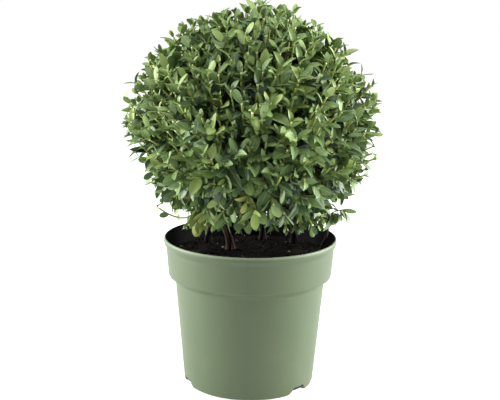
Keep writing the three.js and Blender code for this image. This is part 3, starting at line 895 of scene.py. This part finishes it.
def limbs():
    """The stems, the boughs and the side shoot."""
    old = bark("old_bark", paint(32, 25, 20), paint(84, 66, 50), paint(86, 52, 38))
    # Darker bark as painted shade, for the stems and the side shoot that stand in the shade of the
    # crown.
    dark = bark("painted_shade_bark", paint(17, 14, 11), paint(43, 35, 27), paint(48, 33, 25))
    young = bark("young_bark", paint(86, 70, 44), paint(142, 128, 84), paint(120, 84, 52))
    for stem_name, (foot, fork, radius) in STEMS.items():
        stem = stem_bend(foot, fork)
        runs = strands(stem, radius)
        skin = old if stem_name == "centre" else dark
        limb(f"stem_{stem_name}", runs, STEM_SIDES, radius * STEM_RELIEF, skin)
        carried = [name for name, (_, _, stem_of) in MASSES.items() if stem_of == stem_name]
        for order, name in enumerate(carried):
            bend = bough_bend(radius, stem, name, order)
            runs = [run_along(bend, BOUGH_RADII, BOUGH_KNOTS)]
            limb(f"bough_{name}", runs, BOUGH_SIDES, BOUGH_RELIEF, young)
    runs = [run_along(side_shoot_bend(), SIDE_SHOOT_RADII, SIDE_SHOOT_KNOTS)]
    limb("side_shoot", runs, BOUGH_SIDES, SIDE_SHOOT_RELIEF, dark)


def side_shoot_bend():
    foot = Vector((*SIDE_SHOOT_FOOT, SOIL_LEVEL + CLEARANCE))
    above = foot + UP * SIDE_SHOOT_PULL
    return Bend(foot, above, SIDE_SHOOT_BEND, SIDE_SHOOT_TIP)


# ---- leaves

LEAF_ROWS = 6
FACE_COLUMNS = 4
UNDER_COLUMNS = 2
NARROWEST_FOOT = 0.10  # of the blade's width, where it joins the shoot
BLUNT_TIP = 0.10
# Each blade: its width, how round its tip is, how far it curls back, how steeply its halves
# fold up from the midrib, how far its edges roll down again, and its widest place along it.
BLADES = (
    (1.00, 0.76, 0.30, 0.50, 0.26, 0.48),
    (0.82, 0.92, 0.60, 0.72, 0.26, 0.44),
    (0.90, 0.84, 0.42, 0.88, 0.30, 0.46),
    (1.00, 0.58, 0.16, 0.28, 0.32, 0.54),
    (1.08, 0.46, 0.10, 0.20, 0.36, 0.60),
)


def blade(form, layer):
    """The face, the underside or the midrib of a leaf of unit length along +Y, facing +Z."""
    width, rounding, curl, fold, roll, widest = form
    columns = FACE_COLUMNS if layer == "face" else UNDER_COLUMNS
    shape = bmesh.new()
    bmesh.ops.create_grid(shape, x_segments=columns, y_segments=LEAF_ROWS, size=0.5)
    half = LEAF_WIDTH / LEAF_LENGTH / 2 * width
    base = rounding * widest / (1 - widest)
    lower = {"face": 0, "under": LEAF_THICKNESS, "midrib": -MIDRIB_LIFT}[layer] / LEAF_LENGTH
    for vertex in shape.verts:
        across, along = vertex.co.x * 2, vertex.co.y + 0.5
        along = 0.5 - 0.5 * math.cos(math.pi * along)
        if layer == "midrib":
            along = 0.02 + 0.95 * along
        outline = (along / widest) ** base * ((1 - along) / (1 - widest)) ** rounding
        outline = max(outline, NARROWEST_FOOT if along < 0.5 else BLUNT_TIP)
        out = across * half * outline
        if layer == "midrib":
            out = across * MIDRIB_WIDTH / LEAF_LENGTH / 2 * (1.2 - 0.7 * along)
        share = abs(out) / (half * outline)
        lift = (fold * share - roll * share**2) * half * outline
        bent = curl * along
        vertex.co = (out, along * (1 - bent**2 / 6), lift - along * bent / 2 - lower)
    if layer == "under":
        bmesh.ops.reverse_faces(shape, faces=shape.faces)
    return smooth_mesh(f"blade_{layer}", shape)


# ---- the plan of the shoots


def ball_directions(count, lowest):
    """Even directions over the ball by the golden angle, less those of the opening under it."""
    golden = math.pi * (3 - math.sqrt(5))
    for i in range(count):
        height, turn = 1 - (2 * i + 1) / count, golden * i
        if height > lowest:
            level = math.sqrt(1 - height * height)
            yield Vector((level * math.cos(turn), level * math.sin(turn), height))


def nearest_mass(way):
    return max(AXES, key=lambda name: AXES[name].dot(way))


# Where the clipped outline stands out: bearing, elevation, how far, and over how many degrees.
BULGES = (
    (180, 6, 0.015, 17),
    (180, 50, 0.008, 9),
    (180, -32, 0.005, 11),
    (90, 74, 0.005, 12),
    (0, 12, 0.010, 10),
    (0, -24, 0.015, 14),
)

# Single shoots that the shears missed: bearing, elevation, reach and the size of their leaves.
OUTLIERS = (
    (180, 2, 0.134, 0.75), (181, -8, 0.131, 0.9), (178, -20, 0.129, 0.9), (184, 18, 0.130, 0.8),
    (180, -33, 0.136, 0.2), (181, -44, 0.139, 0.4), (180, 58, 0.122, 0.8), (180, 31, 0.127, 0.8),
    (2, 13, 0.138, 0.7), (-3, 18, 0.133, 0.7), (0, 5, 0.131, 0.6), (3, 24, 0.127, 0.8),
    (-2, -6, 0.132, 0.7), (-2, -15, 0.134, 0.6), (1, -24, 0.134, 0.6), (0, -34, 0.132, 0.5),
    (0, 70, 0.125, 0.9), (2, 58, 0.122, 0.8), (-90, 12, 0.130, 0.8), (90, 10, 0.132, 0.8),
    (60, -20, 0.130, 0.7), (130, 24, 0.127, 0.8), (-50, 8, 0.127, 0.8), (-128, 6, 0.128, 0.8),
    (0, -18, 0.137, 0.6), (6, -13, 0.135, 0.7), (-6, -17, 0.136, 0.7), (-10, -25, 0.134, 0.7),
    (182, 10, 0.1355, 0.6), (178, -3, 0.1355, 0.6),
)

# Shoots that hang into the mouth of the pot: bearing, elevation, reach, leaf size and tone.
# The darkest tones here, 0 and 1, are painted shade for the leaves in the shade under the ball.
MOUTH_SHOOTS = (
    (-144, -52, 0.134, 0.85, 4), (-138, -55, 0.127, 1.0, 5), (-133, -57, 0.128, 0.95, 5),
    (-127, -59, 0.122, 0.9, 4), (-115, -62, 0.114, 0.9, 2), (-97, -60, 0.114, 0.9, 1),
    (-66, -60, 0.120, 0.8, 1), (-56, -58, 0.124, 0.9, 3), (-50, -62, 0.124, 0.8, 0),
    (-44, -55, 0.128, 0.9, 1), (-40, -58, 0.128, 0.8, 0), (-36, -53, 0.134, 0.8, 1),
    (-60, -68, 0.116, 0.8, 0), (-30, -64, 0.124, 0.8, 0), (0, -64, 0.124, 0.8, 0),
    (180, -66, 0.120, 0.8, 0), (60, -60, 0.126, 0.9, 1), (110, -64, 0.123, 0.9, 2),
    (150, -58, 0.127, 0.9, 1), (-22, -53, 0.131, 0.85, 3), (-8, -55, 0.133, 0.85, 2),
    (-26, -50, 0.131, 0.9, 2), (4, -52, 0.134, 0.85, 1),
)

# Thin shoots that stand out over the rim of the pot and turn up again, in the same columns.
RIM_SHOOTS = ((180, -45.5, 0.1425, 0.8, 3),)


def clipped_reach(way):
    reach = TWIG_REACH
    for bearing, elevation, extra, spread in BULGES:
        away = math.degrees(way.angle(direction(bearing, elevation))) / spread
        reach += extra * math.exp(-away * away)
    return reach


def keeps_clear(point, limit):
    """Whether a point is within a reach of the ball's middle and clear of the pot and the soil."""
    height = (point.z - CROWN_HEIGHT) / CROWN_SQUASH
    if math.hypot(point.x, point.y, height) > limit:
        return False
    if point.z > POT_HEIGHT + LEAF_OVER_POT:
        return True
    inside = point.xy.length < BAND_TOP_RADIUS - WALL - LEAF_OVER_POT
    return inside and point.z > SOIL_LEVEL + LEAF_OVER_POT


TONES = DEEP, DARK, MIDDLE, FRESH, YOUNG, YELLOWED = range(6)
# How the shoots share out the tones and the leaves the blades, from the first of each to the
# last, by where they stand on the ball.
# The tones darken from the top down to the skirt: partly more young growth on top, partly painted
# light on top and painted shade low on the ball.
TONE_SHARES = {
    "top": (0.03, 0.16, 0.44, 0.30, 0.07, 0.00),
    "waist": (0.08, 0.28, 0.38, 0.21, 0.05, 0.00),
    "skirt": (0.12, 0.36, 0.34, 0.13, 0.02, 0.03),
}
BLADE_SHARES = {
    "top": (0.30, 0.25, 0.25, 0.15, 0.05),
    "waist": (0.30, 0.20, 0.25, 0.20, 0.05),
    "skirt": (0.25, 0.08, 0.20, 0.30, 0.17),
}

# How high a shoot's direction points where the top of the ball starts, where its skirt ends
# and where the leaves start to hang.
TOP_LEVEL = 0.5
SKIRT_LEVEL = -0.45
HANGING_LEVEL = -0.4


def storey(way):
    return "top" if way.z > TOP_LEVEL else "waist" if way.z > SKIRT_LEVEL else "skirt"


class Crown:
    """Every twig and leaf of the plant, gathered by kind before they are joined."""

    def __init__(self, seed):
        self.chance = random.Random(seed)
        self.branches = []
        self.shoots = []
        self.cut_ends = []
        self.leaves = []  # (tone, blade, place, turn and scale) of each
        self.twigs = {}  # the curves of each mass's own stem and its twigs
        self.limit = TIP_REACH

    def swing(self):
        return self.chance.uniform(-1, 1)

    def pick(self, shares):
        return self.chance.choices(range(len(shares)), shares)[0]

    def leaf(self, root, up, turn, angle, length, tone, width=1.0, droop=0.0):
        """Sets one leaf on a shoot, turned round it and leaning out from it."""
        reference = UP if abs(up.z) < 0.9 else Vector((1, 0, 0))
        side = (reference - up * reference.dot(up)).normalized()
        side.rotate(Matrix.Rotation(turn, 3, up))
        along = up * math.cos(angle) + side * math.sin(angle)
        face = up * math.sin(angle) - side * math.cos(angle) + UP * LEAF_LIGHT_TURN
        along = (along - UP * droop).normalized()
        across = along.cross(face).normalized()
        across.rotate(Matrix.Rotation(LEAF_TWIST * self.swing(), 3, along))
        if not all(keeps_clear(root + along * length * share, self.limit) for share in (0.5, 1)):
            return
        face = across.cross(along)
        form = self.pick(BLADE_SHARES[storey((root - CROWN_CENTRE).normalized())])
        turned = Matrix((across * length * width, along * length, face * length)).transposed()
        self.leaves.append((tone, form, root, turned))

    def leafy(self, bend, first, tone, leaf_length, clipped, droop=0.0):
        """Opposite pairs of leaves along a shoot, each a quarter turn on from the one below."""
        turn = self.chance.uniform(0, math.pi)
        pairs = max(round(bend.length * (1 - first) / PAIR_SPACING), 2)
        for pair in range(pairs + 1):
            share = pair / pairs
            along = first + (1 - first) * share
            swell = math.sin(math.pi * min(share * 1.1, 1)) ** 0.7
            size = leaf_length * (0.78 + 0.30 * swell)
            lean = math.radians(LOW_LEAF_ANGLE + (TIP_LEAF_ANGLE - LOW_LEAF_ANGLE) * share)
            rank = tone
            if share > YOUNG_SHARE:
                rank = min(tone + 1, YOUNG) if tone < YELLOWED else YELLOWED
                if not clipped:
                    size, lean = size * YOUNG_LEAF[0], math.radians(YOUNG_LEAF[1])
            elif share < OLD_SHARE:
                # The lower pairs darken: partly older leaves, partly painted shade deeper in the
                # ball.
                darker = 1 if share > OLDEST_SHARE else 2
                rank = max(tone - darker, 0) if tone < YELLOWED else FRESH
                if self.chance.random() < BARE_PAIRS:
                    continue
            for opposite in (0, math.pi):
                spin = turn + pair * math.pi / 2 + opposite + LEAF_TURN_SPREAD * self.swing()
                angle = lean + math.radians(LEAF_ANGLE_SPREAD) * self.swing()
                self.leaf(
                    bend.point(along), bend.tangent(along), spin, angle,
                    size * (1 + LEAF_LENGTH_SPREAD * self.swing()), rank,
                    1 + LEAF_WIDTH_SPREAD * self.swing(), droop + OLD_DROOP * (1 - share),
                )
        tip, way = bend.point(1), bend.tangent(1)
        if clipped:
            self.cut_ends.append((tip, way))
            return
        size, lean, width = BUD_LEAF
        for opposite in (0, math.pi):
            spin = turn + pairs * math.pi / 2 + math.pi / 2 + opposite
            self.leaf(tip, way, spin, math.radians(lean), leaf_length * size, YOUNG, width)

    def shoot(self, way, reach, rise, droop=0.0, size=1.0, tone=None):
        """A shoot from the nearest twig out to the ball, its leafy end turned to the light."""
        leaning = (way + UP * rise).normalized()
        end = on_ball(way, reach)
        elbow = end - leaning * min(SHOOT_RUN, reach * SHORT_RUN)
        twigs = self.twigs[nearest_mass(way)]
        parent = min(twigs, key=lambda twig: (twig.point(SHOOT_FORKS[1]) - elbow).length)
        start = parent.point(self.chance.uniform(*SHOOT_FORKS))
        bend = Bend(start, start.lerp(elbow, SHOOT_SWEEP), elbow, end)
        first = max(1 - SHOOT_RUN * LEAFY_SHARE / bend.length, BARE_FOOT)
        self.shoots.append(run_along(bend, SHOOT_RADII, SHOOT_KNOTS))
        length = LEAF_LENGTH * self.chance.uniform(*LEAF_SIZES) * size
        clipped = self.chance.random() < CLIPPED_SHARE
        tone = self.pick(TONE_SHARES[storey(way)]) if tone is None else tone
        self.leafy(bend, first, tone, length, clipped, droop)

    def grow_twigs(self):
        """Each mass's own stem, and the twigs that branch from it."""
        for name, axis in AXES.items():
            root = mass_root(name)
            joint = on_ball(axis, CORE_RADIUS * JOINT_DEPTH)
            own = Bend(root, root + mass_leaning(name) * OWN_STEM_LENGTH, joint)
            self.branches.append(run_along(own, OWN_STEM_RADII, OWN_STEM_KNOTS))
            self.twigs[name] = [own]
        for way in ball_directions(TWIG_COUNT, LOWEST_TWIG):
            twigs = self.twigs[nearest_mass(way)]
            bend = Bend(
                twigs[0].point(self.chance.uniform(*TWIG_FORKS)),
                on_ball(way, CORE_RADIUS * TWIG_ELBOW),
                on_ball(way, CORE_RADIUS * TWIG_BEND),
                on_ball(way, clipped_reach(way) - TWIG_SHORTFALL * self.chance.random()),
            )
            self.branches.append(run_along(bend, TWIG_RADII, TWIG_KNOTS))
            twigs.append(bend)

    def grow_shoots(self):
        """The fine shoots all over the ball, with denser and thinner places."""
        for way in ball_directions(SHOOT_COUNT, LOWEST_TWIG):
            scatter = Vector((self.swing(), self.swing(), self.swing())) * SHOOT_SCATTER
            way = (way + scatter).normalized()
            spread, hollow = REACH_SPREAD, min(noise.noise(way * 5), 0) * HOLLOW_DEPTH
            if way.z > TOP_LEVEL:
                spread, hollow = spread * TOP_SPREAD, hollow * TOP_HOLLOW
            low = way.z < HANGING_LEVEL
            reach = clipped_reach(way) + spread * (self.chance.random() - 0.55) + hollow
            rise = self.chance.uniform(*(LOW_RISE if low else SHOOT_RISE))
            self.shoot(way, reach, rise, LOW_DROOP if low else 0)

    def grow_inner_shoots(self):
        for way in ball_directions(INNER_COUNT, LOWEST_TWIG):
            reach = self.chance.uniform(*INNER_REACH)
            # Their deep tone is painted shade: darker leaves where shade falls inside the ball.
            self.shoot(way, reach, INNER_RISE, size=SHADED_SIZE, tone=DEEP)

    def grow_outliers(self):
        for bearing, elevation, reach, size in OUTLIERS:
            rise = OUTLIER_RISE if elevation > OUTLIER_LOWEST else HANGING_RISE
            self.shoot(direction(bearing, elevation), reach, rise, size=size)

    def grow_hanging_shoots(self):
        for ring, (elevation, count) in enumerate(HANGING_RINGS):
            for i in range(count):
                way = direction((i + 0.5 * ring + 0.3 * self.swing()) * 360 / count, elevation)
                reach = HANGING_REACH + HANGING_SPREAD * self.swing()
                self.shoot(way, reach, HANGING_RISE, HANGING_DROOP, SHADED_SIZE)

    def grow_side_spray(self):
        """The spray at the end of the side shoot."""
        shoot = side_shoot_bend()
        way = shoot.tangent(1)
        start = shoot.point(1) + way * 2 * CLEARANCE
        self.limit = SIDE_TIP_REACH
        for end, first, droop in SIDE_TWIGS:
            bend = Bend(start, start + way * SIDE_TWIG_PULL, end)
            self.shoots.append(run_along(bend, SIDE_TWIG_RADII, SIDE_TWIG_KNOTS))
            self.leafy(bend, first, MIDDLE, SIDE_LEAF_LENGTH, True, droop)

    def grow_low_shoots(self):
        self.limit = LOW_TIP_REACH
        for shoots, rise, droop in (
            (MOUTH_SHOOTS, MOUTH_RISE, HANGING_DROOP),
            (RIM_SHOOTS, RIM_RISE, RIM_DROOP),
        ):
            for bearing, elevation, reach, size, tone in shoots:
                self.shoot(direction(bearing, elevation), reach, rise, droop, size, tone)


# ---- foliage pieces

# Each piece of the leaves: its tones, its layer, its colour and its roughness.
LEAF_PIECES = {
    # The deep tone is painted shade, for the leaves inside the ball.
    "leaves_deep": ((DEEP,), "face", paint(46, 60, 42), 0.46),
    "leaves_dark": ((DARK,), "face", paint(66, 89, 55), 0.46),
    "leaves_middle": ((MIDDLE,), "face", paint(92, 116, 67), 0.46),
    "leaves_fresh": ((FRESH,), "face", paint(107, 130, 73), 0.48),
    "leaves_young": ((YOUNG,), "face", paint(122, 141, 78), 0.50),
    "leaves_yellowed": ((YELLOWED,), "face", paint(150, 158, 86), 0.52),
    "leaves_underside_dull": (TONES[:FRESH], "under", paint(98, 120, 78), 0.6),
    "leaves_underside_pale": (TONES[FRESH:], "under", paint(122, 144, 88), 0.6),
    "leaf_midribs": (TONES[DARK:], "midrib", paint(142, 160, 100), 0.5),
}


def plain(name, colour, roughness):
    return Finish(name, {
        "Base Color": colour, "Roughness": roughness, "Specular IOR Level": 0.30,
    }).material


def foliage():
    crown = Crown(CROWN_SEED)
    crown.grow_twigs()
    crown.grow_shoots()
    crown.grow_inner_shoots()
    crown.grow_outliers()
    crown.grow_hanging_shoots()
    crown.grow_side_spray()
    crown.grow_low_shoots()

    for name, (tones, layer, colour, roughness) in LEAF_PIECES.items():
        shape = bmesh.new()
        for kind, form in enumerate(BLADES):
            places = [(p, t) for tone, b, p, t in crown.leaves if tone in tones and b == kind]
            if places:
                shape.from_mesh(joined(name, blade(form, layer), places))
        mesh, skin = smooth_mesh(name, shape), plain(name, colour, roughness)
        piece(name, mesh, skin, node=FOLIAGE_NODES, slot="leaves")

    (back, past), (back_radius, past_radius) = CUT_END, CUT_END_RADII
    ends = [
        [(tip - way * back, back_radius), (tip + way * past, past_radius)]
        for tip, way in crown.cut_ends
    ]
    for name, runs, skin in (
        ("branches", crown.branches, plain("branch_bark", paint(84, 72, 46), 0.8)),
        ("shoots", crown.shoots, plain("shoot_green", paint(140, 152, 80), 0.6)),
        ("cut_ends", ends, plain("cut_wood", paint(206, 206, 150), 0.7)),
    ):
        piece(name, tubes(name, runs, TWIG_SIDES), skin, node=FOLIAGE_NODES, slot="leaves")


# ---- floor

FLOOR_SIZE = 15
FLOOR_GLOW = 0.92


def pale_floor():
    shape = bmesh.new()
    bmesh.ops.create_grid(shape, x_segments=1, y_segments=1, size=FLOOR_SIZE)
    made = added("floor", smooth_mesh("floor", shape))
    made.data.materials.append(Finish("floor_white", {
        "Base Color": (0.4, 0.4, 0.4, 1), "Roughness": 0.9,
        "Emission Color": (1, 1, 1, 1), "Emission Strength": FLOOR_GLOW,
    }).material)


camera()
studio()
pale_floor()
pot()
potting_soil()
soil_crumbs()
limbs()
foliage()
